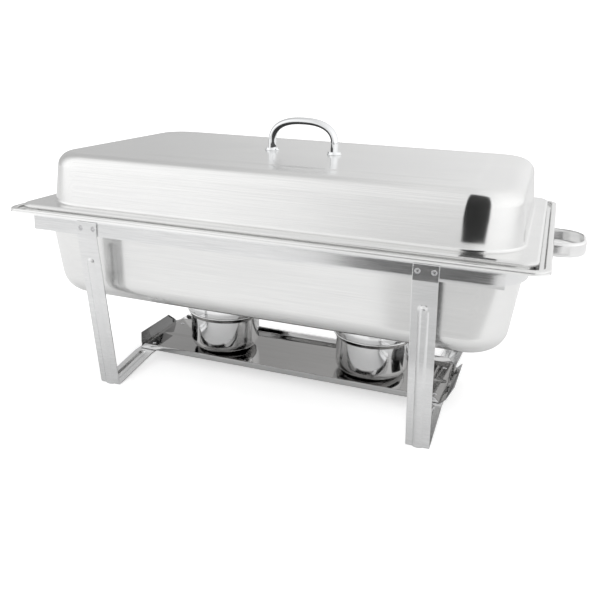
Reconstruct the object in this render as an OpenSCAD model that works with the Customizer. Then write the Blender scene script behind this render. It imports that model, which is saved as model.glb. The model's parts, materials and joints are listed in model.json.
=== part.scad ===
// Full-size chafing dish food warmer: domed lid, food pan, water pan, riveted strip frame, burner
// shelf and two fuel burners. +X runs along the long side, +Y to the back, +Z up. The origin is on
// the table, under the middle of the frame.

/* [Pans] */
// Length of the water pan over its rim
rim_l = 565; // [545:1:600]
// Width of the water pan over its rim
rim_w = 350; // [340:1:370]
// Height of the water pan's rim above the table
rim_z = 204; // [195:1:225]
// Depth of the water pan under its rim
water_depth = 103; // [90:1:110]
// Depth of the food pan under its rim
food_depth = 65; // [40:1:75]
// Length of the food pan over its flange
food_l = 530; // [520:1:535]
// Width of the food pan over its flange
food_w = 325; // [318:1:328]
// Thickness of every drawn sheet
sheet = 1; // [0.8:0.1:1.2]

/* [Lid] */
// Height of the lid's dome above its own flange
dome_h = 56.6; // [45:0.2:80]
// Plan radius of the dome's corners at its foot
dome_r = 50; // [40:1:60]
// Half thickness of the lid handle's oval rod
rod_r = 4.15; // [3.5:0.05:5]
// Width of the lid handle's oval rod
rod_w = 13.8; // [10:0.2:18]
// Distance between the two feet of the lid handle
grip_span = 76; // [60:1:100]
// Height of the lid handle over the lid
grip_h = 40; // [32:1:55]

/* [Frame] */
// Half of the distance between the legs of one side
leg_x = 178; // [160:1:200]
// Width of a leg strip
leg_w = 24; // [20:1:30]
// How far the foot of a leg stands from the middle
foot_y = 139; // [125:1:150]
// Height of the rails
rail_h = 16; // [14:0.5:20]
// How far the side carrying handles reach from the middle
strap_reach = 314.5; // [300:0.5:330]

/* [Burner shelf and burners] */
// Half length of the burner shelf
shelf_x = 192; // [180:1:200]
// Half width of the burner shelf
shelf_y = 57; // [54:1:66]
// Height of the burner shelf's underside
shelf_z = 11; // [10:0.2:20]
// Distance of each burner from the middle
burner_x = 96; // [70:1:110]
// Outer radius of a burner cup's wall
cup_r = 43; // [38:0.5:46]

/* [Hidden] */
$fn = 64;
steel = [0.86, 0.86, 0.85];
polished = [0.75, 0.76, 0.77];
frame_grey = [0.68, 0.69, 0.70];
cut = 0.1;

// Rim, ledge and recess of the water pan, as half sizes from the middle
rim_hx = rim_l / 2;
rim_hy = rim_w / 2;
ledge_w = 5.75;
recess_d = 3.5;
recess_z = rim_z - recess_d;
rest_z = recess_z - sheet;
wall_in = 22;
pan_hx = rim_hx - wall_in;
pan_hy = rim_hy - wall_in;
pan_z = rim_z - water_depth;
lip_h = 4;

// Lid flange and dome, as half sizes and heights
lid_hx = rim_hx - 10;
lid_hy = rim_hy - 8.5;
flange_top = rim_z + 4.4;
flange_low = flange_top - sheet;
dome_hx = lid_hx - 15;
dome_hy = lid_hy - 15;
dome_top = flange_top + dome_h;

// Frame planes
rail_t = 1.5;
rail_face = rim_hy - 3;
rail_top = rest_z;
rail_low = rail_top - rail_h;
rail_hx = 246;
end_hx = pan_hx + 3;
end_r = 50;
arm_end = 160;
leg_t = 1.5;
leg_face = rail_face + leg_t;
leg_top = rail_top - 0.8;
bend_z = rail_low - 1;
shelf_t = 1;
shelf_top = shelf_z + shelf_t;
rivet_gap = 7.5;
rivet_z = rail_low + 8;
tuck_y = 30;

// Burner heights
cup_h = 42.6;
lip_z = shelf_top + cup_h;
collar_top = lip_z + 19;
flame_r = 22;
pivot_y = 34;

// ---- Outlines and lofts ----

// Points of a rectangle with round corners, seen from above, at height z
corner_steps = 10;
function ring(hx, hy, r, z) = [for (k = [0:3]) for (i = [0:corner_steps])
    let (a = 90 * k + 90 * i / corner_steps,
         sx = (k == 0 || k == 3) ? 1 : -1,
         sy = (k < 2) ? 1 : -1)
    [sx * (hx - r) + r * cos(a), sy * (hy - r) + r * sin(a), z]];

// Closed solid through a row of rings; its first and last rings are its two flat faces
module loft(rows) {
    n = 4 * (corner_steps + 1);
    m = len(rows);
    points = [for (row = rows) each ring(row[0], row[1], row[2], row[3])];
    sides = [for (j = [0:m - 2]) for (i = [0:n - 1])
        let (a = j * n + i, b = j * n + (i + 1) % n) each [[a, a + n, b + n], [a, b + n, b]]];
    first = [for (i = [0:n - 1]) i];
    last = [for (i = [0:n - 1]) (m - 1) * n + n - 1 - i];
    polyhedron(points, concat([first], sides, [last]), convexity = 10);
}

// Rows of a quarter round of radius r: from is the first angle, to the last
function bend(hx, hy, cr, z, r, from, to, steps) = [for (i = [0:steps])
    let (a = from + (to - from) * i / steps)
    [hx + r * cos(a), hy + r * cos(a), max(1, cr + r * cos(a)), z + r * sin(a)]];

// ---- Water pan ----

bottom_r = 26;
wall_draft = 10;
pan_cr = 44;
foot_hx = pan_hx - wall_draft - bottom_r;
foot_hy = pan_hy - wall_draft - bottom_r;
rim_cr = 15;

module water_pan() {
    outer = concat(
        bend(foot_hx, foot_hy, pan_cr - 34, pan_z + bottom_r, bottom_r, -90, -7, 6),
        [[pan_hx, pan_hy, pan_cr, rest_z],
         [rim_hx - ledge_w + sheet, rim_hy - ledge_w + sheet, rim_cr, rest_z],
         [rim_hx - ledge_w + sheet, rim_hy - ledge_w + sheet, rim_cr, rim_z - sheet],
         [rim_hx - 2, rim_hy - 2, rim_cr, rim_z - sheet],
         [rim_hx - sheet, rim_hy - sheet, rim_cr, rim_z - lip_h]]);
    inner = concat(
        [[rim_hx, rim_hy, rim_cr, rim_z - lip_h],
         [rim_hx - 0.6, rim_hy - 0.6, rim_cr, rim_z - 0.9],
         [rim_hx - 1.6, rim_hy - 1.6, rim_cr, rim_z],
         [rim_hx - ledge_w, rim_hy - ledge_w, rim_cr, rim_z],
         [rim_hx - ledge_w, rim_hy - ledge_w, rim_cr, recess_z],
         [pan_hx - sheet, pan_hy - sheet, pan_cr, recess_z]],
        bend(foot_hx, foot_hy, pan_cr - 34, pan_z + bottom_r, bottom_r - sheet, -7, -90, 6));
    color(steel) loft(concat(outer, inner));
}

// ---- Food pan ----

food_hx = food_l / 2;
food_hy = food_w / 2;
food_wall = 14;
food_r = 14;
food_cr = 30;
food_draft = 5;
food_top = flange_low;
food_z = food_top - food_depth;
food_ix = food_hx - food_wall - food_draft - food_r;
food_iy = food_hy - food_wall - food_draft - food_r;

module food_pan() {
    outer = concat(
        bend(food_ix, food_iy, food_cr - 18, food_z + food_r, food_r, -90, -6, 4),
        [[food_hx - food_wall, food_hy - food_wall, food_cr, food_top - sheet],
         [food_hx - sheet, food_hy - sheet, food_cr - 12, food_top - sheet],
         [food_hx - sheet, food_hy - sheet, food_cr - 12, recess_z]]);
    inner = concat(
        [[food_hx, food_hy, food_cr - 12, recess_z],
         [food_hx, food_hy, food_cr - 12, food_top],
         [food_hx - food_wall - sheet, food_hy - food_wall - sheet, food_cr, food_top]],
        bend(food_ix, food_iy, food_cr - 18, food_z + food_r, food_r - sheet, -6, -90, 4));
    color(steel) loft(concat(outer, inner));
}

// ---- Lid ----

dome_edge_r = 16;
dome_draft = 5;
panel_in = 34;
edge_hx = dome_hx - dome_draft - dome_edge_r;
edge_hy = dome_hy - dome_draft - dome_edge_r;
edge_cr = dome_r - dome_draft - dome_edge_r;
panel_rise = 1;
stud_r = 2.5;

// One side of the lid's sheet, from the bevel's lower edge up to the flat panel; d is the inset
function lid_rows(d) = concat(
    [[lid_hx, lid_hy, 15, flange_top - 4],
     [lid_hx - 3 - d / 2, lid_hy - 3 - d / 2, 13, flange_top - d],
     [dome_hx + 2.4, dome_hy + 2.4, dome_r + 2, flange_top - d],
     [dome_hx - d, dome_hy - d, dome_r, flange_top + 2.8 - d]],
    bend(edge_hx, edge_hy, edge_cr, dome_top - panel_rise - dome_edge_r, dome_edge_r - d, 8, 90, 6),
    [[edge_hx - panel_in + 12, edge_hy - panel_in + 12, edge_cr, dome_top - panel_rise - d],
     [edge_hx - panel_in + 6, edge_hy - panel_in + 6, edge_cr, dome_top - d]]);
function reversed(list) = [for (i = [len(list) - 1:-1:0]) list[i]];

module lid_shell() {
    outer = lid_rows(0);
    inner = lid_rows(sheet);
    edge = [[lid_hx - sheet, lid_hy - sheet, 14, flange_top - 4]];
    body = concat([for (i = [1:len(inner) - 1]) inner[i]]);
    color(steel) difference() {
        loft(concat(reversed(body), edge, outer));
        for (sx = [-1, 1])
            translate([sx * grip_span / 2, 0, dome_top - 10]) cylinder(r = stud_r + 0.3, h = 20);
    }
}

bend_r = 30;
grip_z = dome_top + grip_h - rod_r;
stud_len = 11;
oval = rod_w / 2 - rod_r;

// Section of the handle's rod: two round edges joined by flats, larger all round by grow
module rod_section(grow = 0) {
    for (sy = [-1, 1]) translate([0, sy * oval]) circle(r = rod_r + grow);
    translate([-rod_r - grow, -oval]) square([2 * (rod_r + grow), 2 * oval]);
}

module lid_handle() {
    color(polished) {
        for (sx = [-1, 1]) {
            translate([sx * grip_span / 2, 0, dome_top])
                linear_extrude(grip_z - bend_r - dome_top) rod_section();
            translate([sx * grip_span / 2, 0, dome_top - stud_len]) cylinder(r = stud_r, h = stud_len + 1);
            translate([sx * (grip_span / 2 - bend_r), 0, grip_z - bend_r])
                rotate([90, 0, 0])
                    rotate([0, 0, sx > 0 ? 0 : 90])
                        rotate_extrude(angle = 90) translate([bend_r, 0]) rod_section();
        }
        translate([-grip_span / 2 + bend_r, 0, grip_z])
            rotate([90, 0, 90]) linear_extrude(grip_span - 2 * bend_r) rotate([0, 0, 90]) rod_section();
    }
}

// Flared foot that the rod stands in
ferrule_r = 8.4;
ferrule_h = 3.4;
module lid_foot(sx) {
    color(polished) translate([sx * grip_span / 2, 0, dome_top]) difference() {
        rotate_extrude() polygon([[0, 0], [ferrule_r, 0], [ferrule_r, 0.7], [ferrule_r - 0.7, 1.8],
            [ferrule_r - 1, ferrule_h], [0, ferrule_h]]);
        translate([0, 0, -cut]) linear_extrude(ferrule_h + 2 * cut) rod_section(0.05);
    }
}
module lid_foot_left() { lid_foot(-1); }
module lid_foot_right() { lid_foot(1); }

washer_t = 1.2;
nut_h = 4;
inner_top = dome_top - sheet;
module lid_washers() {
    color(polished) for (sx = [-1, 1])
        translate([sx * grip_span / 2, 0, inner_top - washer_t]) difference() {
            cylinder(r = 7, h = washer_t);
            translate([0, 0, -cut]) cylinder(r = stud_r + 0.2, h = washer_t + 2 * cut);
        }
}
module lid_nuts() {
    color(polished) for (sx = [-1, 1])
        translate([sx * grip_span / 2, 0, inner_top - washer_t - nut_h]) difference() {
            cylinder(r = 4.6, h = nut_h, $fn = 6);
            translate([0, 0, -cut]) cylinder(r = stud_r + 0.05, h = nut_h + 2 * cut);
        }
}

// ---- Frame ----

// Centres of the leg rivets along X
rivets_x = [for (sx = [-1, 1]) for (k = [-1, 1]) sx * leg_x + k * rivet_gap];
rivet_r = 1.6;
// Front and back rails are the same strip, turned end for end
module rail() {
    color(frame_grey) difference() {
        translate([-rail_hx, -rail_face, rail_low]) cube([2 * rail_hx, rail_t, rail_h]);
        for (x = rivets_x)
            translate([x, -rail_face - 1, rivet_z]) rotate([-90, 0, 0]) cylinder(r = rivet_r, h = 5);
    }
}
module front_rail() { rail(); }
module back_rail() { rotate([0, 0, 180]) rail(); }

// End rail: a strip bent round both corners, its arms behind the long rails
strap_root = 44;
module band_outline(hx, hy, r) {
    hull() for (sy = [-1, 1]) translate([hx - r, sy * (hy - r)]) circle(r = r);
    translate([0, -hy]) square([hx - r, 2 * hy]);
}
module end_rail() {
    arm_face = rail_face - rail_t;
    color(frame_grey) difference() {
        translate([0, 0, rail_low]) linear_extrude(rail_h) difference() {
            union() {
                translate([0, -arm_face]) square([end_hx - end_r, 2 * arm_face]);
                translate([end_hx - end_r, -arm_face + end_r]) square([end_r, 2 * (arm_face - end_r)]);
                for (sy = [-1, 1]) translate([end_hx - end_r, sy * (arm_face - end_r)]) circle(r = end_r);
            }
            union() {
                translate([-1, -arm_face + rail_t]) square([end_hx - end_r + 1, 2 * (arm_face - rail_t)]);
                translate([end_hx - end_r - 1, -arm_face + end_r])
                    square([end_r + 1 - rail_t, 2 * (arm_face - end_r)]);
                for (sy = [-1, 1])
                    translate([end_hx - end_r, sy * (arm_face - end_r)]) circle(r = end_r - rail_t);
            }
            translate([-1, -rim_hy]) square([arm_end + 1, rim_w]);
        }
        for (x = rivets_x, sy = [-1, 1])
            translate([x, sy * (arm_face - 4), rivet_z]) rotate([-90 * sy, 0, 0])
                cylinder(r = rivet_r, h = 8);
        for (sy = [-1, 1])
            translate([end_hx - 4, sy * strap_root, rivet_z]) rotate([0, 90, 0])
                cylinder(r = rivet_r, h = 8);
    }
}
module left_end_rail() { mirror([1, 0, 0]) end_rail(); }
module right_end_rail() { end_rail(); }

// Leg strip: upright on the rail, leaning in to the foot, folded and run in under the shelf.
// Angle of the leaning part and of the part that runs inward
lean = atan((leg_face - foot_y) / bend_z);
lean_len = (bend_z - 2) / cos(lean);
run_y = shelf_y + 6;
run_rise = shelf_z - leg_t - 0.4;
run_angle = atan(run_rise / (foot_y - run_y));
rib_r = 6;
rib_rise = 1.9;
rib_top = 153;

module leg_profile() {
    polygon([[leg_face, leg_top], [leg_face - leg_t, leg_top], [leg_face - leg_t, bend_z + 0.2],
        [foot_y - 3, 2.9 + leg_t], [run_y, shelf_z], [tuck_y, shelf_z], [tuck_y, shelf_z - leg_t],
        [run_y, shelf_z - leg_t], [foot_y - 5, 0.6], [foot_y - 4, 0], [foot_y - 1, 0],
        [foot_y, 0.8], [leg_face, bend_z]]);
}
// Pressed rib on the leaning part, round ended at its top; grow is its radius
module rib(grow, sink) {
    translate([0, foot_y - sink, 1]) rotate([-lean, 0, 0]) {
        cylinder(r = grow, h = (rib_top - 1) / cos(lean));
        translate([0, 0, (rib_top - 1) / cos(lean)]) sphere(r = grow);
    }
}
module leg() {
    color(frame_grey) difference() {
        union() {
            translate([-leg_w / 2, 0, 0]) rotate([90, 0, 90]) linear_extrude(leg_w) leg_profile();
            intersection() {
                rib(rib_r, rib_r - rib_rise);
                translate([-leg_w / 2, foot_y - 20, 0]) cube([leg_w, 80, rib_top + 10]);
                translate([0, foot_y - 0.8, 0.8]) rotate([-lean, 0, 0])
                    translate([-leg_w / 2, 0, -5]) cube([leg_w, 20, 200]);
            }
        }
        rib(rib_r - leg_t, rib_r - rib_rise);
        for (k = [-1, 1])
            translate([k * rivet_gap, leg_face + 1, rivet_z]) rotate([90, 0, 0])
                cylinder(r = rivet_r, h = 5);
        translate([0, tuck_y + 8, shelf_z - 4]) cylinder(r = rivet_r, h = 8);
    }
}
module leg_front_left() { translate([-leg_x, 0, 0]) mirror([0, 1, 0]) leg(); }
module leg_front_right() { translate([leg_x, 0, 0]) mirror([0, 1, 0]) leg(); }
module leg_back_left() { translate([-leg_x, 0, 0]) leg(); }
module leg_back_right() { translate([leg_x, 0, 0]) leg(); }

// Hollow rivet along +Z: the head sits on z = 0, the set end at z = -grip
module rivet(grip) {
    rotate_extrude() polygon([[0, -1.2], [0.8, -1.2], [0.8, 0.3], [1.3, 0.9], [2.1, 0.8], [2.8, 0],
        [rivet_r, 0], [rivet_r, -grip], [2.3, -grip], [2.1, -grip - 0.7], [0, -grip - 0.7]]);
}
module leg_rivets() {
    color(polished) for (x = rivets_x, sy = [-1, 1])
        translate([x, sy * leg_face, rivet_z]) rotate([-90 * sy, 0, 0]) rivet(leg_t + 2 * rail_t);
}

// Strap carrying handle: one strip bent to a D, its two feet riveted to the end rail
strap_t = 1.6;
strap_hy = 36;
strap_cr = 26;
strap_h = 15.2;
strap_low = rail_top - strap_h - 0.6;
foot_len = 15;
module strap() {
    color(polished) difference() {
        translate([0, 0, strap_low]) linear_extrude(strap_h) {
            difference() {
                union() {
                    translate([end_hx, -strap_hy]) square([strap_reach - strap_cr - end_hx, 2 * strap_hy]);
                    translate([strap_reach - strap_cr - 1, strap_cr - strap_hy])
                        square([strap_cr + 1, 2 * (strap_hy - strap_cr)]);
                    for (sy = [-1, 1])
                        translate([strap_reach - strap_cr, sy * (strap_hy - strap_cr)]) circle(r = strap_cr);
                }
                translate([end_hx - 1, strap_t - strap_hy])
                    square([strap_reach - strap_cr - end_hx + 1, 2 * (strap_hy - strap_t)]);
                translate([strap_reach - strap_cr - 2, strap_cr - strap_hy])
                    square([strap_cr + 2 - strap_t, 2 * (strap_hy - strap_cr)]);
                for (sy = [-1, 1])
                    translate([strap_reach - strap_cr, sy * (strap_hy - strap_cr)])
                        circle(r = strap_cr - strap_t);
                translate([end_hx - strap_cr, -strap_hy - 1]) square([strap_cr, 2 * strap_hy + 2]);
            }
            for (sy = [-1, 1])
                translate([end_hx, sy * (strap_hy + foot_len / 2) - foot_len / 2])
                    square([strap_t, foot_len]);
        }
        for (sy = [-1, 1])
            translate([end_hx - 1, sy * strap_root, rivet_z]) rotate([0, 90, 0])
                cylinder(r = rivet_r, h = 8);
    }
}
module left_handle() { mirror([1, 0, 0]) strap(); }
module right_handle() { strap(); }
module handle_rivets() {
    color(polished) for (sx = [-1, 1], sy = [-1, 1])
        translate([sx * (end_hx + strap_t), sy * strap_root, rivet_z]) rotate([0, 90 * sx, 0])
            rivet(strap_t + rail_t);
}

// ---- Burner shelf ----

// Half widths and lengths of the flaps, and how far the end ones lean out
flap_y = 46;
long_x = 186;
long_lean = 6;
end_lean = 32;
long_flap = 7.5;
end_flap = 13;
fold = 0.3;
flap_gap = 0.6;
// Turned-up flap of that half length; its fold lies on the plate's lower edge
module flap(half, reach, lean_angle) {
    rotate([90 + lean_angle, 0, 0]) translate([0, 0, -shelf_t])
        linear_extrude(shelf_t) polygon([[-half, fold], [half, fold], [half, 1.6],
            [half - reach * 0.75, reach], [reach * 0.75 - half, reach], [-half, 1.6]]);
}
module burner_shelf() {
    color(polished) difference() {
        union() {
            translate([0, 0, shelf_z]) linear_extrude(shelf_t) polygon([
                [long_x, -shelf_y], [shelf_x, -flap_y], [shelf_x, flap_y], [long_x, shelf_y],
                [-long_x, shelf_y], [-shelf_x, flap_y], [-shelf_x, -flap_y], [-long_x, -shelf_y]]);
            for (a = [0, 180]) rotate([0, 0, a]) {
                translate([0, -shelf_y, shelf_z]) flap(long_x - flap_gap, long_flap, long_lean);
                rotate([0, 0, 90]) translate([0, -shelf_x, shelf_z])
                    flap(flap_y - flap_gap, end_flap, end_lean);
            }
        }
        for (sx = [-1, 1], sy = [-1, 1])
            translate([sx * leg_x, sy * (tuck_y + 8), shelf_z - 4]) cylinder(r = rivet_r, h = 8);
    }
}
module shelf_rivets() {
    color(polished) for (sx = [-1, 1], sy = [-1, 1])
        translate([sx * leg_x, sy * (tuck_y + 8), shelf_top]) rotate_extrude()
            polygon([[0, 0.5], [2, 0.4], [2.6, 0], [rivet_r, 0], [rivet_r, -shelf_t - leg_t],
                [2.4, -shelf_t - leg_t], [2.2, -shelf_t - leg_t - 0.7], [0, -shelf_t - leg_t - 0.7]]);
}

// ---- Burners ----

cup_t = 1;
cup_foot_r = 12;
lip_rise = 6.2;
module cup() {
    knee = [for (i = [0:6]) let (a = -90 + 15 * i)
        [cup_r - cup_foot_r + cup_foot_r * cos(a), cup_foot_r + cup_foot_r * sin(a)]];
    inner_knee = [for (i = [0:6]) let (a = -15 * i)
        [cup_r - cup_foot_r + (cup_foot_r - cup_t) * cos(a), cup_foot_r + (cup_foot_r - cup_t) * sin(a)]];
    color(polished) translate([0, 0, shelf_top]) rotate_extrude() polygon(concat(
        [[0, 0]], knee,
        [[cup_r, cup_h], [cup_r + 1.2, cup_h + 0.3], [cup_r + 4, cup_h + 5], [cup_r + 4.4, cup_h + 5.6],
         [cup_r + 4, cup_h + lip_rise], [cup_r + 3, cup_h + lip_rise], [cup_r + 0.4, cup_h + 1.3],
         [cup_r - cup_t, cup_h + 0.8]],
        inner_knee, [[0, cup_t]]));
}
module left_cup() { translate([-burner_x, 0, 0]) cup(); }
module right_cup() { translate([burner_x, 0, 0]) cup(); }

// Collar: its plug stands in the cup, its shoulder on the cup's lip, its top has the flame opening
plug_r = cup_r - cup_t - 0.3;
band_r = cup_r + 3.5;
pivot_hole_r = 1.65;
module collar() {
    color(polished) difference() {
        union() {
            translate([0, 0, lip_z]) rotate_extrude() polygon([
                [plug_r - 1, -8], [plug_r, -8], [plug_r, lip_rise], [band_r - 0.2, lip_rise],
                [band_r, 7.4], [band_r + 0.3, 12], [band_r, 16], [band_r - 1, 18.2], [band_r - 2.6, 19],
                [flame_r + 2, 19], [flame_r + 1, 20.4], [flame_r, 20.4], [flame_r + 0.8, 18],
                [band_r - 2.9, 18], [band_r - 1.7, 17.4], [band_r - 1, 15.8], [band_r - 0.7, 12],
                [band_r - 1, 7.6], [band_r - 1.2, lip_rise + 1], [plug_r - 1, lip_rise + 1]]);
            translate([0, pivot_y, collar_top - 0.5]) cylinder(r = 3.4, h = 2.1);
        }
        translate([0, pivot_y, collar_top - 4]) cylinder(r = pivot_hole_r, h = 8);
    }
}
module left_collar() { translate([-burner_x, 0, 0]) collar(); }
module right_collar() { translate([burner_x, 0, 0]) collar(); }

// Damper: a shallow cap over the flame opening that swings on its pivot, with a lifted tab
damper_r = flame_r + 3.5;
damper_z = collar_top + 1.7;
module damper() {
    color(polished) difference() {
        union() {
            translate([0, 0, damper_z]) cylinder(r = damper_r, h = 1);
            translate([0, 0, damper_z]) cylinder(r1 = 17, r2 = 13, h = 2.6);
            translate([-5, 0, damper_z]) cube([10, pivot_y, 1]);
            translate([0, pivot_y, damper_z]) cylinder(r = 5, h = 1);
            translate([-6, -damper_r - 9, damper_z]) cube([12, 12, 1]);
            translate([-6, -damper_r - 9.6, damper_z]) cube([12, 1, 5]);
        }
        translate([0, pivot_y, damper_z - 2]) cylinder(r = pivot_hole_r, h = 8);
    }
}
module left_damper() { translate([-burner_x, 0, 0]) damper(); }
module right_damper() { translate([burner_x, 0, 0]) damper(); }

module pivot() {
    color(polished) translate([0, pivot_y, damper_z + 1]) rotate_extrude()
        polygon([[0, 1.1], [1.8, 0.9], [3, 0.05], [1.6, 0.05], [1.6, -3.7], [2.6, -3.7],
            [2.4, -4.5], [0, -4.5]]);
}
module left_pivot() { translate([-burner_x, 0, 0]) pivot(); }
module right_pivot() { translate([burner_x, 0, 0]) pivot(); }

water_pan();
food_pan();
lid_shell();
lid_handle();
lid_foot_left();
lid_foot_right();
lid_washers();
lid_nuts();
front_rail();
back_rail();
left_end_rail();
right_end_rail();
leg_front_left();
leg_front_right();
leg_back_left();
leg_back_right();
leg_rivets();
left_handle();
right_handle();
handle_rivets();
burner_shelf();
shelf_rivets();
left_cup();
right_cup();
left_collar();
right_collar();
left_damper();
right_damper();
left_pivot();
right_pivot();
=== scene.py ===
"""Looks of a full-size chafing dish: brushed lid and pans, strip frame, mirror shelf, burners.

Everything is in metres in the CAD frame. Sheet-metal pieces are rebuilt here with rounded folds
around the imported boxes, and small fasteners keep their CAD meshes with a better finish.
"""

import json
import math

import bmesh
import bpy
from mathutils import Matrix, Vector


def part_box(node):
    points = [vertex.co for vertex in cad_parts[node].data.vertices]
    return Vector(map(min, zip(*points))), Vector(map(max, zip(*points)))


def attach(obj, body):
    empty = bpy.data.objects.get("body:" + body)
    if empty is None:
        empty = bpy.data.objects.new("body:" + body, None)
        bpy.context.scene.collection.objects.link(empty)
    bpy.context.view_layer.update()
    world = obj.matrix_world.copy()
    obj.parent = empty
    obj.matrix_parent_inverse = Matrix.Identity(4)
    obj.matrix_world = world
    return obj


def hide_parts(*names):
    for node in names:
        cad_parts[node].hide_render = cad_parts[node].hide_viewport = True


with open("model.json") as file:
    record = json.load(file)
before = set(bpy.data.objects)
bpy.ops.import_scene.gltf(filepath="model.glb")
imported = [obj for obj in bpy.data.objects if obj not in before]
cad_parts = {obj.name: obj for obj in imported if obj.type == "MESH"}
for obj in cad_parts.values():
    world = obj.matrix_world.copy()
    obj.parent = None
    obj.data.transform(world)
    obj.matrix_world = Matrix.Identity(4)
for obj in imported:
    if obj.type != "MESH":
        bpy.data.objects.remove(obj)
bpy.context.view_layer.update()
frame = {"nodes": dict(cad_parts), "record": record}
MM = 0.001


# ---- Shape helpers ----

def fillet(points, steps=8):
    """Turns (a, b, radius) corners into a smooth line of (a, b) points."""
    line = [Vector(points[0][:2])]
    for before, corner, after in zip(points, points[1:], points[2:]):
        p, c, n = Vector(before[:2]), Vector(corner[:2]), Vector(after[:2])
        u, v = (p - c).normalized(), (n - c).normalized()
        angle = u.angle(v)
        radius = corner[2]
        if radius <= 0 or angle > math.pi - 0.01:
            line.append(c)
            continue
        reach = radius / math.tan(angle / 2)
        centre = c + (u + v).normalized() * radius / math.sin(angle / 2)
        start, end = c + u * reach - centre, c + v * reach - centre
        turn = start.angle_signed(end)
        for i in range(steps + 1):
            a = -turn * i / steps
            line.append(centre + Vector((start.x * math.cos(a) - start.y * math.sin(a),
                                         start.x * math.sin(a) + start.y * math.cos(a))))
    line.append(Vector(points[-1][:2]))
    return line


def spaced(line, gap):
    """The same line with extra points, so that none are further apart than gap."""
    out = [line[0]]
    for a, b in zip(line, line[1:]):
        parts = max(1, math.ceil((b - a).length / gap))
        out += [a.lerp(b, i / parts) for i in range(1, parts + 1)]
    return out


def normals(line):
    """Unit normals on the left of the way the line runs."""
    found = []
    for i in range(len(line)):
        ways = []
        if i > 0:
            ways.append((line[i] - line[i - 1]).normalized())
        if i < len(line) - 1:
            ways.append((line[i + 1] - line[i]).normalized())
        way = sum(ways, Vector((0, 0))).normalized()
        slow = max(0.5, way.dot(ways[0]))
        found.append(Vector((-way.y, way.x)) / slow)
    return found


def piece(name, bm, material, body, replaces=(), crease=38, bevel=0.0):
    """Makes an object of a bmesh, smooth but for its creases, and ties it to its body and nodes."""
    bmesh.ops.remove_doubles(bm, verts=bm.verts, dist=1e-6)
    bmesh.ops.recalc_face_normals(bm, faces=bm.faces)
    if bevel:
        edges = [e for e in bm.edges if len(e.link_faces) == 2
                 and e.calc_face_angle(0) > math.radians(55)]
        bmesh.ops.bevel(bm, geom=edges, offset=bevel, segments=2, profile=0.5, affect="EDGES",
                        clamp_overlap=True)
    mesh = bpy.data.meshes.new(name)
    bm.to_mesh(mesh)
    bm.free()
    for face in mesh.polygons:
        face.use_smooth = True
    mesh.set_sharp_from_angle(angle=math.radians(crease))
    obj = bpy.data.objects.new(name, mesh)
    bpy.context.scene.collection.objects.link(obj)
    mesh.materials.append(material)
    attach(obj, body)
    if replaces:
        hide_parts(*replaces)
    return obj


def rounded_ring(hx, hy, r, z, steps=16):
    """Points of a round-cornered rectangle at height z."""
    r = max(min(r, hx, hy), 1e-4)
    pts = []
    for k, (sx, sy) in enumerate(((1, 1), (-1, 1), (-1, -1), (1, -1))):
        for i in range(steps + 1):
            a = math.pi / 2 * (k + i / steps)
            pts.append(Vector((sx * (hx - r) + r * math.cos(a), sy * (hy - r) + r * math.sin(a), z)))
    return pts


def corner_radius(table, out):
    """Plan corner radius at that distance from the outer edge, read between a table's rows."""
    rows = sorted(table)
    if out <= rows[0][0]:
        return rows[0][1]
    for (a, ra), (b, rb) in zip(rows, rows[1:]):
        if out <= b:
            return ra + (rb - ra) * (out - a) / (b - a)
    return rows[-1][1]


def join_rings(bm, a, b):
    """Faces between two closed rings of as many vertices."""
    for i in range(len(a)):
        j = (i + 1) % len(a)
        bm.faces.new((a[i], a[j], b[j], b[i]))


def length_of(line):
    """Length along a line of points."""
    return sum((b - a).length for a, b in zip(line, line[1:]))


def drawn_shell(hx, hy, profile, radii, sheet):
    """A drawn sheet: profile runs from the outer edge to the middle as (out, z), top side up."""
    under = [p + n * sheet for p, n in zip(profile, normals(profile))]
    bm = bmesh.new()
    sides = []
    for side in (profile, under):
        rings = []
        for p in side:
            ring = rounded_ring(hx + p.x, hy + p.x, corner_radius(radii, p.x), p.y)
            rings.append([bm.verts.new(v) for v in ring])
        for a, b in zip(rings, rings[1:]):
            join_rings(bm, a, b)
        bm.faces.new(rings[-1])
        sides.append(rings[0])
    top_edge, under_edge = sides
    join_rings(bm, under_edge, top_edge)
    return bm


def strip(line, thick, half_width, place, raise_by=None, across=2, bm=None):
    """A flat strip bent along a line. Its back is at the line, its face on the line's left side.

    half_width(s) and raise_by(s, w) take the way along the strip and across it, in metres."""
    bm = bm or bmesh.new()
    ways = normals(line)
    s = 0.0
    rows = []
    for i, (p, n) in enumerate(zip(line, ways)):
        if i:
            s += (p - line[i - 1]).length
        half = half_width(s)
        front, back = [], []
        for k in range(across + 1):
            w = half * (2 * k / across - 1)
            lift = raise_by(s, w) if raise_by else 0.0
            front.append(bm.verts.new(place(p + n * (thick + lift), w)))
            back.append(bm.verts.new(place(p + n * lift, w)))
        rows.append(front + back[::-1])
    for a, b in zip(rows, rows[1:]):
        join_rings(bm, a, b)
    m = across + 1
    for row in (rows[0], rows[-1]):
        for k in range(across):
            bm.faces.new((row[k], row[k + 1], row[2 * m - 2 - k], row[2 * m - 1 - k]))
    return bm


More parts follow.
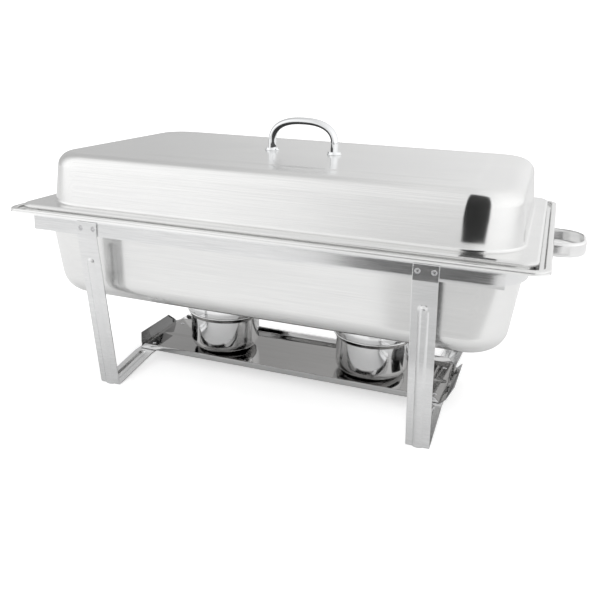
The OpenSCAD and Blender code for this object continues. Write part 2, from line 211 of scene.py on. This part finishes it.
def lathe(profile, centre, steps=96, bm=None):
    """Turns a closed (radius, z) outline about a vertical axis through centre."""
    bm = bm or bmesh.new()
    rings = []
    for p in profile:
        if p[0] < 1e-6:
            rings.append([bm.verts.new(centre + Vector((0, 0, p[1])))] * steps)
            continue
        rings.append([bm.verts.new(centre + Vector((p[0] * math.cos(2 * math.pi * i / steps),
                                                    p[0] * math.sin(2 * math.pi * i / steps), p[1])))
                      for i in range(steps)])
    for a, b in zip(rings, rings[1:] + rings[:1]):
        for i in range(steps):
            j = (i + 1) % steps
            corners = list(dict.fromkeys((a[i], a[j], b[j], b[i])))
            if len(corners) > 2:
                bm.faces.new(corners)
    return bm


def tube(line, radius, place, steps=28):
    """A round rod along a line in one plane."""
    bm = bmesh.new()
    rings = []
    for p, n in zip(line, normals(line)):
        n = n.normalized()
        ring = []
        for i in range(steps):
            a = 2 * math.pi * i / steps
            ring.append(bm.verts.new(place(p + n * radius * math.cos(a), radius * math.sin(a))))
        rings.append(ring)
    for a, b in zip(rings, rings[1:]):
        join_rings(bm, a, b)
    bm.faces.new(rings[0])
    bm.faces.new(rings[-1])
    return bm


# ---- Materials ----

def node_of(tree, kind, **values):
    """Adds a node and sets its plain inputs by name."""
    n = tree.nodes.new(kind)
    for key, value in values.items():
        n.inputs[key.replace("_", " ")].default_value = value
    return n


def grain_noise(tree, coords, scale, detail, roughness=0.6):
    """Noise of the object's coordinates after they are stretched."""
    mapping = node_of(tree, "ShaderNodeMapping", Scale=scale)
    noise = node_of(tree, "ShaderNodeTexNoise", Scale=1.0, Detail=detail, Roughness=roughness)
    tree.links.new(coords, mapping.inputs["Vector"])
    tree.links.new(mapping.outputs["Vector"], noise.inputs["Vector"])
    return noise.outputs["Fac"]


def ranged(tree, value, low, high, start=0.3, end=0.7):
    """Value between start and end becomes low to high."""
    r = tree.nodes.new("ShaderNodeMapRange")
    for key, number in (("From Min", start), ("From Max", end), ("To Min", low), ("To Max", high)):
        r.inputs[key].default_value = number
    tree.links.new(value, r.inputs["Value"])
    return r.outputs["Result"]


def steel(name, dark, light, rough, fine=2400.0, long=14.0, bump=0.02, smear=0.35):
    """Stainless steel: grain lines along X, or along Y on faces that look along X, and soft smears.

    dark and light are colours, and rough is the (low, high) of the roughness."""
    material = bpy.data.materials.new(name)
    material.use_nodes = True
    tree = material.node_tree
    shader = tree.nodes["Principled BSDF"]
    shader.inputs["Metallic"].default_value = 1.0
    coords = tree.nodes.new("ShaderNodeTexCoord").outputs["Object"]
    along_x = grain_noise(tree, coords, (long, fine, fine), 3.0)
    along_y = grain_noise(tree, coords, (fine, long, fine), 3.0)
    normal = tree.nodes.new("ShaderNodeNewGeometry").outputs["Normal"]
    parts = tree.nodes.new("ShaderNodeSeparateXYZ")
    tree.links.new(normal, parts.inputs["Vector"])
    size = tree.nodes.new("ShaderNodeMath")
    size.operation = "ABSOLUTE"
    tree.links.new(parts.outputs["X"], size.inputs[0])
    which = ranged(tree, size.outputs["Value"], 0.0, 1.0, 0.60, 0.85)
    lines = tree.nodes.new("ShaderNodeMix")
    tree.links.new(which, lines.inputs["Factor"])
    tree.links.new(along_x, lines.inputs["A"])
    tree.links.new(along_y, lines.inputs["B"])
    smears = grain_noise(tree, coords, (5.0, 9.0, 16.0), 4.0)
    both = tree.nodes.new("ShaderNodeMix")
    both.inputs["Factor"].default_value = smear
    tree.links.new(lines.outputs["Result"], both.inputs["A"])
    tree.links.new(smears, both.inputs["B"])
    tint = tree.nodes.new("ShaderNodeMix")
    tint.data_type = "RGBA"
    tint.inputs["A"].default_value = (*dark, 1.0)
    tint.inputs["B"].default_value = (*light, 1.0)
    tree.links.new(ranged(tree, both.outputs["Result"], 0.0, 1.0), tint.inputs["Factor"])
    tree.links.new(tint.outputs["Result"], shader.inputs["Base Color"])
    tree.links.new(ranged(tree, both.outputs["Result"], rough[0], rough[1]), shader.inputs["Roughness"])
    if bump:
        relief = tree.nodes.new("ShaderNodeBump")
        relief.inputs["Strength"].default_value = bump
        relief.inputs["Distance"].default_value = 0.1 * MM
        tree.links.new(lines.outputs["Result"], relief.inputs["Height"])
        tree.links.new(relief.outputs["Normal"], shader.inputs["Normal"])
    return material


LID_STEEL = steel("lid_steel", (0.74, 0.74, 0.74), (0.93, 0.93, 0.92), (0.17, 0.27), bump=0.05)
PAN_STEEL = steel("pan_steel", (0.74, 0.74, 0.74), (0.93, 0.93, 0.92), (0.15, 0.25), bump=0.05)
FOOD_STEEL = steel("food_pan_steel", (0.72, 0.72, 0.72), (0.90, 0.90, 0.89), (0.16, 0.26), bump=0.05)
FRAME_STEEL = steel("frame_steel", (0.67, 0.675, 0.68), (0.90, 0.90, 0.90), (0.16, 0.26),
                    fine=1800.0, long=40.0, bump=0.03)
STRAP_STEEL = steel("strap_steel", (0.80, 0.80, 0.80), (0.93, 0.93, 0.93), (0.16, 0.26), bump=0.05)
CHROME = steel("polished_steel", (0.84, 0.85, 0.86), (0.90, 0.91, 0.92), (0.03, 0.07), bump=0.0)
MIRROR = steel("mirror_steel", (0.27, 0.265, 0.26), (0.36, 0.355, 0.35), (0.02, 0.06), bump=0.0)
# Lighter steel for the shelf's long flanges: a painted bright reflection, not a finish of their own
FLANGE_PAINTED_BRIGHT_REFLECTION = steel("flange_painted_bright_reflection", (0.62, 0.62, 0.62), (0.74, 0.74, 0.74), (0.04, 0.10), bump=0.0)
# Near-black steel for the shelf's end flaps: a painted dark reflection, not a finish of their own
FLAP_PAINTED_DARK_REFLECTION = steel("flap_painted_dark_reflection", (0.12, 0.12, 0.12), (0.20, 0.20, 0.20), (0.02, 0.06), bump=0.0)
CUP_STEEL = steel("cup_steel", (0.84, 0.845, 0.85), (0.95, 0.95, 0.95), (0.08, 0.14), bump=0.02)
FASTENER = steel("fastener_steel", (0.50, 0.50, 0.51), (0.72, 0.72, 0.73), (0.20, 0.34), bump=0.04)


# ---- Lid ----

lid_low, lid_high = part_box("lid_shell")
lid_hx, lid_hy = lid_high.x, lid_high.y
lid_top = lid_high.z
PANEL = 62 * MM
CROWN = 0.9 * MM
SHEET = 1 * MM
FLANGE_RISE = 4 * MM
flange_top = lid_low.z + FLANGE_RISE

lid_line = fillet([
    (-0.9 * MM, lid_low.z, 0),
    (-0.8 * MM, lid_low.z + 2.3 * MM, 0.4 * MM),
    (-3.2 * MM, flange_top, 1.0 * MM),
    (-15.2 * MM, flange_top, 3.0 * MM),
    (-20.4 * MM, lid_top - 1.4 * MM, 17.0 * MM),
    (-PANEL, lid_top - 1.5 * MM, 5.0 * MM),
    (-PANEL - 6 * MM, lid_top - CROWN, 5.0 * MM),
    (-PANEL - 12 * MM, lid_top - CROWN + 0.05 * MM, 0),
], 9)
start = lid_line[-1].x
for i in range(1, 11):
    share = i / 10
    out = start + (-(lid_hy - 0.002) - start) * share
    lid_line.append(Vector((out, lid_top - CROWN * (1 - share) ** 2)))
LID_RADII = [(0, 0.015), (-0.003, 0.013), (-0.0122, 0.053), (-0.015, 0.050), (-0.0204, 0.0446),
             (-0.038, 0.027), (-0.060, 0.020), (-0.2, 0.004)]
piece("lid", drawn_shell(lid_hx, lid_hy, lid_line, LID_RADII, SHEET),
      LID_STEEL, "lid", ["lid_shell"])

# Lid handle: an oval rod bent to a low arch, standing in two flared feet
rod_low, rod_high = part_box("lid_handle")
ROD = 4.15 * MM
rod_half_w = (rod_high.y - rod_low.y) / 2
grip_x = rod_high.x - ROD
arch_foot = rod_low.z + 11 * MM
ARCH = 25 * MM
# Below 1, the arch is fuller at its shoulders than a half circle
FULLNESS = 0.82
arch_base = rod_high.z - ROD - ARCH
grip_line = [Vector((-grip_x, arch_foot)), Vector((-grip_x, (arch_foot + arch_base) / 2))]
for i in range(49):
    a = math.pi * i / 48
    grip_line.append(Vector((-grip_x * abs(math.cos(a)) ** FULLNESS * (1 if a < math.pi / 2 else -1),
                             arch_base + ARCH * math.sin(a) ** FULLNESS)))
grip_line += [Vector((grip_x, (arch_foot + arch_base) / 2)), Vector((grip_x, arch_foot))]
piece("lid_grip", tube(grip_line, ROD, lambda p, w: Vector((p.x, w * rod_half_w / ROD, p.y)), 36),
      CHROME, "lid", ["lid_handle"])
for side, sign in (("left", -1), ("right", 1)):
    node = "lid_foot_" + side
    low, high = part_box(node)
    r = (high.y - low.y) / 2
    outline = [(0.0, 0.0)] + [tuple(p) for p in fillet([
        (r - 0.2 * MM, 0.0, 0),
        (r, 0.2 * MM, 0.15 * MM),
        (r, 0.8 * MM, 0.3 * MM),
        (r - 0.9 * MM, 2.0 * MM, 1.6 * MM),
        (r - 1.0 * MM, 3.3 * MM, 0.4 * MM),
        (r - 2.0 * MM, 3.4 * MM, 0)], 6)] + [(0.0, 3.4 * MM)]
    piece("lid_ferrule_" + side, lathe(outline, Vector(((low.x + high.x) / 2, 0, low.z)), 64),
          CHROME, "lid", [node], crease=50)


# ---- Water pan and food pan ----

pan_low, pan_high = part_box("water_pan")
rim_hx, rim_hy, rim_z, pan_z = pan_high.x, pan_high.y, pan_high.z, pan_low.z
LIP = 4 * MM
RECESS = 3.5 * MM
pan_line = fillet([
    (0.0, rim_z - LIP, 0),
    (-0.4 * MM, rim_z - 2.4 * MM, 1.0 * MM),
    (-0.6 * MM, rim_z, 1.4 * MM),
    (-5.75 * MM, rim_z, 1.3 * MM),
    (-6.2 * MM, rim_z - RECESS, 1.2 * MM),
    (-22.4 * MM, rim_z - RECESS, 3.5 * MM),
    (-35.6 * MM, pan_z + 1 * MM, 26.0 * MM),
    (-85.0 * MM, pan_z + 1 * MM, 0)], 10)
PAN_RADII = [(0, 0.015), (-0.009, 0.013), (-0.0195, 0.044), (-0.035, 0.036), (-0.062, 0.012)]
piece("pan", drawn_shell(rim_hx, rim_hy, pan_line, PAN_RADII, SHEET),
      PAN_STEEL, "water_pan", ["water_pan"])

food_low, food_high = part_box("food_pan")
food_line = fillet([
    (0.0, rim_z - RECESS, 0),
    (0.0, food_high.z, 1.4 * MM),
    (-14.6 * MM, food_high.z, 3.0 * MM),
    (-20.8 * MM, food_low.z + 1 * MM, 14.0 * MM),
    (-70.0 * MM, food_low.z + 1 * MM, 0)], 9)
FOOD_RADII = [(0, 0.018), (-0.012, 0.028), (-0.02, 0.026), (-0.036, 0.012)]
piece("food_tray", drawn_shell(food_high.x, food_high.y, food_line, FOOD_RADII, SHEET),
      FOOD_STEEL, "food_pan", ["food_pan"])


# ---- Frame ----

# Long rails: straight strips
rail_low, rail_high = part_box("front_rail")
RAIL_T = rail_high.y - rail_low.y
rail_mid = (rail_low.z + rail_high.z) / 2
rail_half = (rail_high.z - rail_low.z) / 2
rail_hx = rail_high.x
for name, sign in (("front_rail", -1), ("back_rail", 1)):
    face = -rail_low.y
    line = spaced([Vector((-rail_hx, face - RAIL_T)), Vector((rail_hx, face - RAIL_T))], 0.02)
    bm = strip(line, RAIL_T, lambda s: rail_half,
               lambda p, w, sign=sign: Vector((p.x, sign * p.y, rail_mid + w)), across=4)
    piece(name + "_strip", bm, FRAME_STEEL, "frame", [name], bevel=0.3 * MM)

# End rails: bent round both corners, their arms behind the long rails
END_BEND = 48.5 * MM
for name, sign in (("left_end_rail", -1), ("right_end_rail", 1)):
    low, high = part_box(name)
    end_x = max(abs(low.x), abs(high.x)) - RAIL_T
    arm_x = min(abs(low.x), abs(high.x))
    arm_y = high.y - RAIL_T
    bend_line = spaced(fillet([(arm_x, arm_y, 0), (end_x, arm_y, END_BEND), (end_x, -arm_y, END_BEND),
                               (arm_x, -arm_y, 0)], 20), 10 * MM)
    bm = strip(bend_line, RAIL_T, lambda s: rail_half,
               lambda p, w, sign=sign: Vector((sign * p.x, p.y, rail_mid + w)), across=4)
    piece(name + "_band", bm, FRAME_STEEL, "frame", [name], bevel=0.3 * MM)

# Legs: upright on the rail, leaning in to the foot, folded, and run in under the shelf.
# A pressed rib runs from under the rail round the foot to the shelf.
leg_low, leg_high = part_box("leg_back_right")
LEG_T = 1.5 * MM
KNEE_Z, KNEE_BEND = 182.5 * MM, 8 * MM
FOOT_Y, FOOT_Z, FOOT_BEND = 137.4 * MM, 0.75 * MM, 1.6 * MM
RUN_Y, RUN_BEND = 64.0 * MM, 5 * MM
leg_x = (leg_low.x + leg_high.x) / 2
leg_half = (leg_high.x - leg_low.x) / 2
shelf_low, shelf_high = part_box("burner_shelf")
leg_line = spaced(fillet([
    (leg_high.y - LEG_T, leg_high.z, 0),
    (leg_high.y - LEG_T, KNEE_Z, KNEE_BEND),
    (FOOT_Y, FOOT_Z, FOOT_BEND),
    (RUN_Y, shelf_low.z, RUN_BEND),
    (leg_low.y, shelf_low.z, 0)], 10), 1.6 * MM)
RIB_HALF = 5.0 * MM
RIB_RISE = 2.1 * MM
RIB_START = leg_high.z - 153 * MM
RIB_END = length_of(leg_line) - 38 * MM


def rib(s, w):
    """Height of the pressed rib at that place on the leg."""
    past = max(0.0, RIB_START - s, s - RIB_END)
    d = math.hypot(past, w) / RIB_HALF
    return RIB_RISE * (1 - d ** 3) if d < 1 else 0.0


for side, sx in (("left", -1), ("right", 1)):
    for row, sy in (("front", -1), ("back", 1)):
        bm = strip(leg_line, LEG_T, lambda s: leg_half,
                   lambda p, w, sx=sx, sy=sy: Vector((sx * leg_x + w, sy * p.x, max(0.0, p.y))),
                   raise_by=rib, across=28)
        node = "leg_" + row + "_" + side
        piece(node + "_strip", bm, FRAME_STEEL, "frame", [node], bevel=0.25 * MM)

# Carrying handles: a strap bent to a D with its long edges curled in
strap_low, strap_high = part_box("right_handle")
STRAP_T = 1.2 * MM
STRAP_BEND = 25 * MM
STRAP_CURL = 2.0 * MM
CURL_START, CURL_RUN = 24 * MM, 10 * MM
strap_mid = (strap_low.z + strap_high.z) / 2
strap_half = (strap_high.z - strap_low.z) / 2
strap_y = 36 * MM
strap_line = spaced(fillet([
    (strap_low.x, strap_high.y, 0),
    (strap_low.x, strap_y - STRAP_T, 2.0 * MM),
    (strap_high.x - STRAP_T, strap_y - STRAP_T, STRAP_BEND),
    (strap_high.x - STRAP_T, -strap_y + STRAP_T, STRAP_BEND),
    (strap_low.x, -strap_y + STRAP_T, 2.0 * MM),
    (strap_low.x, strap_low.y, 0)], 10), 3 * MM)
strap_len = length_of(strap_line)


def curl(s, w):
    """How far the strap's long edges turn in, away from its riveted feet."""
    away = min(s, strap_len - s) - CURL_START
    share = max(0.0, min(1.0, away / CURL_RUN))
    return -STRAP_CURL * share * abs(w / strap_half) ** 7


for name, sign in (("left_handle", -1), ("right_handle", 1)):
    bm = strip(strap_line, STRAP_T, lambda s: strap_half,
               lambda p, w, sign=sign: Vector((sign * p.x, p.y, strap_mid + w)),
               raise_by=curl, across=20)
    piece(name + "_strap", bm, STRAP_STEEL, "frame", [name], bevel=0.25 * MM)


# ---- Burner shelf ----

SHELF_T = 1 * MM
plate_z = shelf_low.z
SHELF_X, SHELF_Y = 192 * MM, 57 * MM
LONG_X, FLAP_Y = 185.4 * MM, 45.4 * MM
LONG_FLAP, END_FLAP = 7.5 * MM, 13 * MM
LONG_LEAN, END_LEAN = math.radians(6), math.radians(32)
FOLD = 1.6 * MM


def flap_end(half, reach, lean):
    """Where a flap that leans out by that angle ends, beside a plate of that half size."""
    return half + reach * math.sin(lean), plate_z + reach * math.cos(lean)


def tapered(half, reach, up):
    """Half length of a flap at that way up from its fold: its ends are cut off at a slant."""
    return half - 0.75 * max(0.0, up - 2 * MM) * reach / (reach - 2 * MM)


long_end = flap_end(SHELF_Y, LONG_FLAP, LONG_LEAN)
tray_line = spaced(fillet([(-long_end[0], long_end[1], 0), (-SHELF_Y, plate_z, FOLD),
                           (SHELF_Y, plate_z, FOLD), (*long_end, 0)], 6), 3 * MM)
tray_len = length_of(tray_line)
bm = strip(tray_line, SHELF_T,
           lambda s: tapered(LONG_X, LONG_FLAP, LONG_FLAP - min(s, tray_len - s)),
           lambda p, w: Vector((w, p.x, p.y)), across=2)
short_end = flap_end(SHELF_X, END_FLAP, END_LEAN)
end_line = spaced(fillet([(LONG_X, plate_z, 0), (SHELF_X, plate_z, FOLD), (*short_end, 0)], 6), 3 * MM)
plate_run = SHELF_X - LONG_X


def end_half(s):
    """Half width of the shelf's end: its corners are cut off, and its flap tapers."""
    if s < plate_run:
        return SHELF_Y + (FLAP_Y - SHELF_Y) * s / plate_run
    return tapered(FLAP_Y, END_FLAP, s - plate_run)


for sign in (-1, 1):
    strip(end_line, SHELF_T, end_half, lambda p, w, sign=sign: Vector((sign * p.x, w, p.y)),
          across=2, bm=bm)
tray = piece("shelf_tray", bm, MIRROR, "frame", ["burner_shelf"], bevel=0.2 * MM)
# The long flanges are painted lighter than the plate and the end flaps darker. These are painted reflections:
# the shelf is one sheet of one finish
FLANGE_PAINTED_BRIGHT_SLOT, FLAP_PAINTED_DARK_SLOT = 1, 2
STEEP = 0.6
tray.data.materials.append(FLANGE_PAINTED_BRIGHT_REFLECTION)
tray.data.materials.append(FLAP_PAINTED_DARK_REFLECTION)
for face in tray.data.polygons:
    if abs(face.normal.y) > STEEP:
        face.material_index = FLANGE_PAINTED_BRIGHT_SLOT
    elif abs(face.normal.x) > STEEP:
        face.material_index = FLAP_PAINTED_DARK_SLOT


# ---- Burners ----

for side in ("left", "right"):
    cup_low, cup_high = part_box(side + "_cup")
    centre = Vector(((cup_low.x + cup_high.x) / 2, (cup_low.y + cup_high.y) / 2, cup_low.z))
    lip_r = (cup_high.x - cup_low.x) / 2
    wall = lip_r - 4.4 * MM
    lip_z = cup_high.z - cup_low.z - 6.2 * MM
    outline = [(0.0, 0.0)]
    outline += [tuple(p) for p in fillet([
        (10 * MM, 0.0, 0), (wall, 0.0, 12.5 * MM), (wall, lip_z, 0.6 * MM),
        (wall + 1.4 * MM, lip_z + 0.8 * MM, 0.6 * MM), (lip_r - 0.5 * MM, lip_z + 4.8 * MM, 0.8 * MM),
        (lip_r, lip_z + 5.4 * MM, 0.5 * MM), (lip_r - 0.4 * MM, lip_z + 6.2 * MM, 0.35 * MM),
        (lip_r - 1.4 * MM, lip_z + 6.2 * MM, 0.3 * MM), (wall + 0.4 * MM, lip_z + 1.4 * MM, 0.8 * MM),
        (wall - 1 * MM, lip_z + 0.4 * MM, 0.6 * MM), (wall - 1 * MM, 1 * MM, 11.5 * MM),
        (9 * MM, 1 * MM, 0)], 7)]
    outline.append((0.0, 1 * MM))
    piece(side + "_fuel_cup", lathe(outline, centre), CUP_STEEL, side + "_burner",
          [side + "_cup"])

    low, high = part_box(side + "_collar")
    at = Vector((centre.x, centre.y, low.z))
    band = (high.x - low.x) / 2
    shoulder = 14.2 * MM
    top = shoulder + 12.8 * MM
    hole = 22 * MM
    outline = [tuple(p) for p in fillet([
        (wall - 2.3 * MM, 0.0, 0), (wall - 1.3 * MM, 0.0, 0.2 * MM), (wall - 1.3 * MM, shoulder, 0.4 * MM),
        (band - 0.5 * MM, shoulder, 0.5 * MM), (band, shoulder + 5.8 * MM, 14 * MM),
        (band - 0.3 * MM, top, 2.4 * MM), (hole + 1.6 * MM, top, 0.9 * MM),
        (hole + 1.1 * MM, top + 1.4 * MM, 0.25 * MM), (hole, top + 1.4 * MM, 0.25 * MM),
        (hole + 0.6 * MM, top - 1 * MM, 0.4 * MM), (band - 1.3 * MM, top - 1 * MM, 1.6 * MM),
        (band - 1 * MM, shoulder + 5.8 * MM, 8 * MM), (band - 1.4 * MM, shoulder + 1 * MM, 0.4 * MM),
        (wall - 2.3 * MM, shoulder + 1 * MM, 0.3 * MM), (wall - 2.3 * MM, 0.1 * MM, 0)], 6)]
    bm = lathe(outline, at)
    pivot_low, pivot_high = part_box(side + "_pivot")
    boss = [(0.0, 0.0), (3.8 * MM, 0.0), (3.4 * MM, 0.5 * MM), (3.3 * MM, 1.6 * MM), (0.0, 1.6 * MM)]
    lathe(boss, Vector((at.x, (pivot_low.y + pivot_high.y) / 2, at.z + top)), 32, bm)
    piece(side + "_burner_collar", bm, CUP_STEEL, side + "_burner", [side + "_collar"])

# Fasteners, dampers and inner parts keep their CAD shape and take their finish here
FINISHES = {"polished_steel": CHROME, "mirror_steel": CUP_STEEL, "fastener_steel": FASTENER,
            "frame_steel": FRAME_STEEL, "strap_steel": STRAP_STEEL}
slots = {s["node"]: s["material_slot"] for s in frame["record"]["subparts"]}
for node, obj in frame["nodes"].items():
    if obj.hide_render:
        continue
    obj.data.materials.clear()
    obj.data.materials.append(FINISHES[slots[node]])


# ---- Studio ----

scene = bpy.context.scene
scene.view_settings.view_transform = "Standard"

camera = bpy.data.cameras.new("camera")
camera.sensor_width = 36
camera.lens = 44.2
camera.shift_x = 0.0358
camera.shift_y = -0.1007
camera.clip_start = 0.01
eye = bpy.data.objects.new("camera", camera)
scene.collection.objects.link(eye)
EYE_PLACE = (0.27343, -0.80746, 0.37838)
YAW, PITCH, ROLL = math.radians(20.4), math.radians(14.39), math.radians(1.63)
ahead = Vector((-math.sin(YAW) * math.cos(PITCH), math.cos(YAW) * math.cos(PITCH), -math.sin(PITCH)))
right = Vector((math.cos(YAW), math.sin(YAW), 0))
above = right.cross(ahead)
rolled_right = right * math.cos(ROLL) + above * math.sin(ROLL)
rolled_up = above * math.cos(ROLL) - right * math.sin(ROLL)
turn = Matrix((rolled_right, rolled_up, -ahead)).transposed().to_4x4()
eye.matrix_world = Matrix.Translation(EYE_PLACE) @ turn
scene.camera = eye


def plain(name, color, rough, glow=0.0):
    """A stage material."""
    m = bpy.data.materials.new(name)
    m.use_nodes = True
    shader = m.node_tree.nodes["Principled BSDF"]
    shader.inputs["Base Color"].default_value = (*color, 1.0)
    shader.inputs["Roughness"].default_value = rough
    shader.inputs["Emission Color"].default_value = (1.0, 1.0, 1.0, 1.0)
    shader.inputs["Emission Strength"].default_value = glow
    return m


def card(name, corners, material):
    """A flat stage card that only reflections see."""
    mesh = bpy.data.meshes.new(name)
    mesh.from_pydata([Vector(c) for c in corners], [], [tuple(range(len(corners)))])
    mesh.materials.append(material)
    obj = bpy.data.objects.new(name, mesh)
    scene.collection.objects.link(obj)
    obj.visible_camera = False
    obj.visible_diffuse = False
    obj.visible_shadow = False
    return obj


floor_mesh = bpy.data.meshes.new("floor")
FLOOR_HALF = 6
floor_mesh.from_pydata([(x * FLOOR_HALF, y * FLOOR_HALF, 0) for x, y in ((-1, -1), (1, -1), (1, 1), (-1, 1))],
                       [], [(0, 1, 2, 3)])
# The floor glows more to the camera than in reflections, so it looks white but stays soft on the steel
GLOW_IN_REFLECTIONS, GLOW_TO_CAMERA = 0.05, 0.60
FLOOR = plain("floor_white", (0.74, 0.74, 0.74), 0.7)
floor_tree = FLOOR.node_tree
glow = floor_tree.nodes.new("ShaderNodeMix")
glow.inputs["A"].default_value = GLOW_IN_REFLECTIONS
glow.inputs["B"].default_value = GLOW_TO_CAMERA
floor_path = floor_tree.nodes.new("ShaderNodeLightPath")
floor_tree.links.new(floor_path.outputs["Is Camera Ray"], glow.inputs["Factor"])
floor_tree.links.new(glow.outputs["Result"], floor_tree.nodes["Principled BSDF"].inputs["Emission Strength"])
floor_mesh.materials.append(FLOOR)
floor = bpy.data.objects.new("floor", floor_mesh)
scene.collection.objects.link(floor)


def softbox(name, place, aim, size, power):
    """A large soft light."""
    data = bpy.data.lights.new(name, "AREA")
    data.shape = "RECTANGLE"
    data.size, data.size_y = size
    data.energy = power
    obj = bpy.data.objects.new(name, data)
    scene.collection.objects.link(obj)
    way = Vector(aim) - Vector(place)
    obj.location = place
    obj.rotation_euler = way.to_track_quat("-Z", "Y").to_euler()
    return obj


overhead = softbox("overhead", (0.0, 0.1, 1.9), (0, 0, 0), (2.0, 1.4), 16)
overhead.visible_glossy = False

# A dark and a grey card lie just over the floor in front, for the rails and the right of the pan
DARK = plain("card_dark", (0.03, 0.03, 0.03), 0.8)
GREY = plain("card_grey", (0.56, 0.56, 0.56), 0.8)
CARD_Z = 0.01
card("low_dark_card", [(x, y, CARD_Z) for x, y in ((-0.9, -4.0), (1.3, -4.0), (0.27, -0.58), (-0.02, -0.60))],
     DARK)
card("low_grey_card", [(x, y, CARD_Z) for x, y in ((0.04, -0.60), (0.90, -0.60), (0.55, -0.24), (0.12, -0.24))],
     GREY)

# Two black cards that only show from their front side: one before the lid's front right corner, one on
# the lid under its handle
ONE_SIDED = plain("card_one_sided", (0.02, 0.02, 0.02), 0.8)
one_sided = ONE_SIDED.node_tree
facing = one_sided.nodes.new("ShaderNodeNewGeometry")
through = one_sided.nodes.new("ShaderNodeMath")
through.operation = "SUBTRACT"
through.inputs[0].default_value = 1.0
one_sided.links.new(facing.outputs["Backfacing"], through.inputs[1])
one_sided.links.new(through.outputs["Value"], one_sided.nodes["Principled BSDF"].inputs["Alpha"])
card("lid_flag", [(0.203, -0.155, 0.240), (0.207, -0.143, 0.272), (0.229, -0.143, 0.272),
                  (0.235, -0.155, 0.240), (0.236, -0.165, 0.217), (0.203, -0.165, 0.217)], ONE_SIDED)
FLAG_HALF, FLAG_Z = 0.036, 0.267
card("handle_flag", [(x * FLAG_HALF, y, FLAG_Z) for x, y in ((-1, -0.055), (1, -0.055), (1, 0.03), (-1, 0.03))],
     ONE_SIDED)

world = bpy.data.worlds.new("studio")
world.use_nodes = True
scene.world = world
tree = world.node_tree
background = tree.nodes["Background"]
background.inputs["Strength"].default_value = 1.27
direction = tree.nodes.new("ShaderNodeTexCoord").outputs["Generated"]
axes = tree.nodes.new("ShaderNodeSeparateXYZ")
tree.links.new(direction, axes.inputs["Vector"])


def room_tone(value, stops):
    """A grey ramp over a direction's coordinate: stops are (where from -1 to 1, grey)."""
    ramp = tree.nodes.new("ShaderNodeValToRGB")
    tree.links.new(ranged(tree, value, 0.0, 1.0, -1.0, 1.0), ramp.inputs["Fac"])
    elements = ramp.color_ramp.elements
    while len(elements) < len(stops):
        elements.new(0.5)
    for element, (where, grey) in zip(elements, stops):
        element.position = (where + 1) / 2
        element.color = (grey, grey, grey, 1.0)
    return ramp.outputs["Color"]


# The room is bright to the left in front and to the right behind, and softly darker elsewhere
front = room_tone(axes.outputs["X"],
                  [(-1.0, 0.97), (-0.55, 0.92), (-0.1, 0.66), (0.4, 0.78), (1.0, 0.95)])
back = room_tone(axes.outputs["X"],
                 [(-1.0, 0.40), (-0.5, 0.46), (-0.05, 0.68), (0.4, 0.80), (1.0, 0.95)])
both = tree.nodes.new("ShaderNodeMix")
both.data_type = "RGBA"
tree.links.new(ranged(tree, axes.outputs["Y"], 0.0, 1.0, -0.2, 0.3), both.inputs["Factor"])
tree.links.new(front, both.inputs["A"])
tree.links.new(back, both.inputs["B"])
# The camera sees the room as plain white
seen = tree.nodes.new("ShaderNodeMix")
seen.data_type = "RGBA"
seen.inputs["B"].default_value = (1.0, 1.0, 1.0, 1.0)
path = tree.nodes.new("ShaderNodeLightPath")
tree.links.new(path.outputs["Is Camera Ray"], seen.inputs["Factor"])
tree.links.new(both.outputs["Result"], seen.inputs["A"])
tree.links.new(seen.outputs["Result"], background.inputs["Color"])
